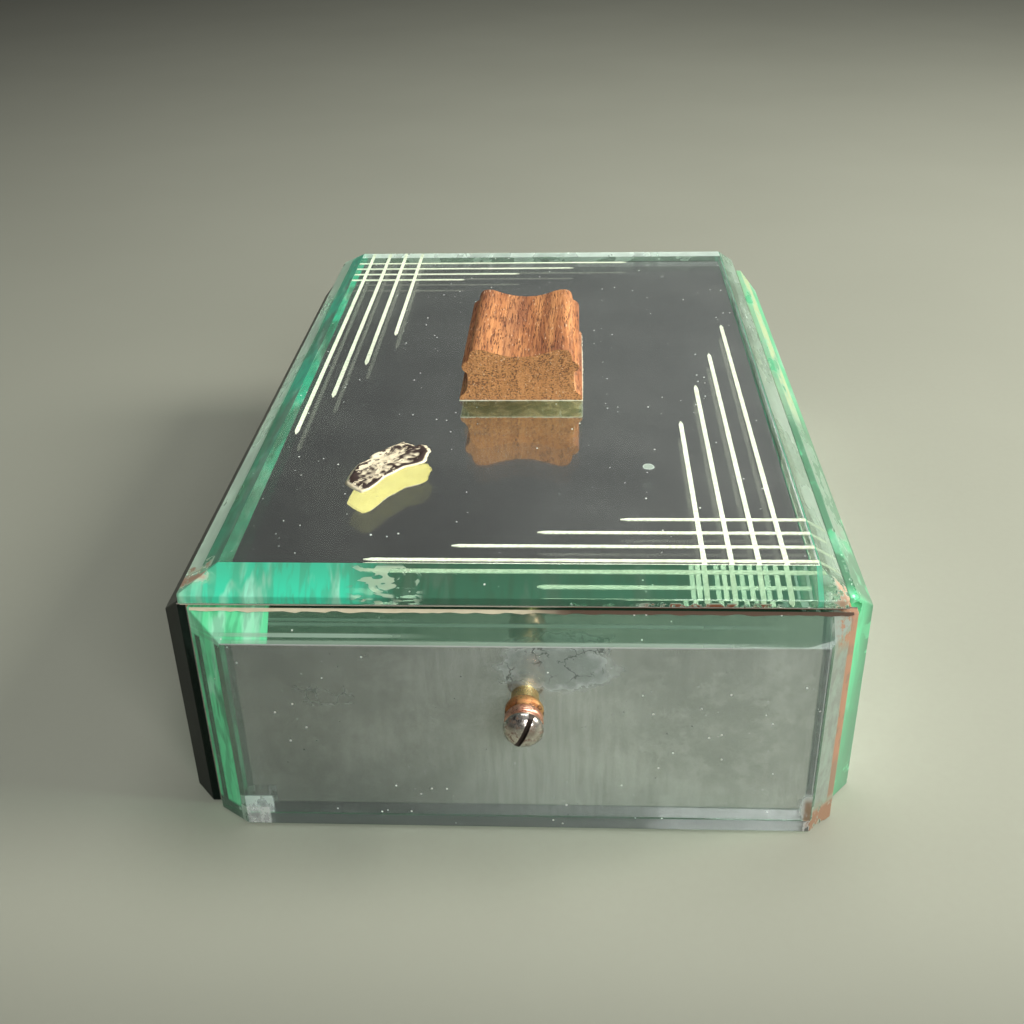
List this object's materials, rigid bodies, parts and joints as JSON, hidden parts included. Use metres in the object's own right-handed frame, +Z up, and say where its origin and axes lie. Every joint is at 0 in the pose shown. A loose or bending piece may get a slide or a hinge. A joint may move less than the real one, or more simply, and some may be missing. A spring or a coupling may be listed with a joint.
{
  "type": "wind-up music box",
  "caption": "Rectangular wind-up music box clad in bevelled mirrored glass, with a hinged lid, wooden handle block, front winding knob and cylinder movement.",
  "frame": {"origin": "middle of the flat underside of the base felt", "axes": "+X to the right seen from the front, +Y from the front with the knob to the back with the hinge, +Z up"},
  "size_m": [0.1464, 0.2271, 0.0754],
  "materials": {
    "plate_glass": "polished green plate glass",
    "silvering": "silver film with grey backing paint",
    "card": "cream card",
    "case_wood": "plain oiled softwood",
    "block_wood": "bare mahogany",
    "felt": "thin felt",
    "brass": "satin",
    "steel": "polished steel",
    "bed_iron": "painted casting",
    "collar_copper": "tarnished copper plate",
    "screw_nickel": "worn nickel plate"
  },
  "bodies": {
    "case": {"arbor_bush": "brass", "back_glass": "plate_glass", "back_wall": "case_wood", "base_board": "case_wood", "base_felt": "felt", "bedplate": "bed_iron", "bedplate_screws": "steel", "bracket_screws": "steel", "click_stud": "steel", "comb": "steel", "comb_base": "bed_iron", "comb_screws": "steel", "cover_rails": "case_wood", "dust_cover": "plate_glass", "front_bracket": "brass", "front_glass": "plate_glass", "front_wall": "case_wood", "governor_frame": "brass", "hinge_case_leaf": "brass", "hinge_case_screws": "brass", "hinge_pin": "brass", "left_glass": "plate_glass", "left_wall": "case_wood", "partition": "case_wood", "rear_bracket": "brass", "right_glass": "plate_glass", "right_wall": "case_wood", "second_cock": "brass", "stop_guide": "brass", "tray_lining": "felt", "wall_silvering": "silvering"},
    "lid": {"lid_glass": "plate_glass", "lid_silvering": "silvering", "lid_card": "card", "lid_board": "case_wood", "lid_lining": "felt", "hinge_lid_leaf": "brass", "hinge_lid_screws": "brass", "handle_block": "block_wood"},
    "winder": {"winding_arbor": "steel", "rear_collar": "collar_copper", "front_collar": "collar_copper", "knob_screw": "screw_nickel", "ratchet_wheel": "steel"},
    "drum": {"spring_barrel": "brass", "barrel_cap": "brass", "mainspring": "steel", "drum_shaft": "brass", "pinned_cylinder": "brass", "great_wheel": "brass"},
    "second_wheel": {"second_arbor": "steel", "pinion": "steel", "worm_wheel": "brass"},
    "governor": {"worm": "steel", "worm_lower_arbor": "steel", "governor_fan": "brass"},
    "stop": {"stop_pin": "steel"},
    "click_pawl": {"click": "steel"}
  },
  "joints": [
    {"name": "lid_hinge", "type": "hinge", "parent": "case", "child": "lid", "pos_m": [0, 0.1062, 0.05434], "axis": [-1, 0, 0], "range_deg": [0, 95]},
    {"name": "winder_turn", "type": "hinge", "parent": "case", "child": "winder", "pos_m": [0.002, -0.109, 0.0332], "axis": [0, 1, 0], "continuous": true},
    {"name": "drum_turn", "type": "hinge", "parent": "case", "child": "drum", "pos_m": [0.002, -0.046, 0.0332], "axis": [0, 1, 0], "continuous": true},
    {"name": "second_turn", "type": "hinge", "parent": "case", "child": "second_wheel", "pos_m": [0.01412, -0.03, 0.0262], "axis": [0, 1, 0], "continuous": true},
    {"name": "governor_turn", "type": "hinge", "parent": "case", "child": "governor", "pos_m": [0.02092, -0.03, 0.0262], "axis": [0, 0, 1], "continuous": true},
    {"name": "stop_slide", "type": "slide", "parent": "case", "child": "stop", "axis": [0, 0, 1], "range_m": [0, 0.0025]},
    {"name": "click_lift", "type": "hinge", "parent": "case", "child": "click_pawl", "pos_m": [0.008, -0.0897, 0.0377], "axis": [0, 1, 0], "range_deg": [0, 14], "stiffness_Nm_per_rad": 0.00002}
  ],
  "couplings": [
    {"joint": "second_turn", "follows": "drum_turn", "ratio": -4},
    {"joint": "governor_turn", "follows": "drum_turn", "ratio": -80},
    {"joint": "stop_slide", "follows": "lid_hinge", "m_per_rad": 0.0015}
  ]
}
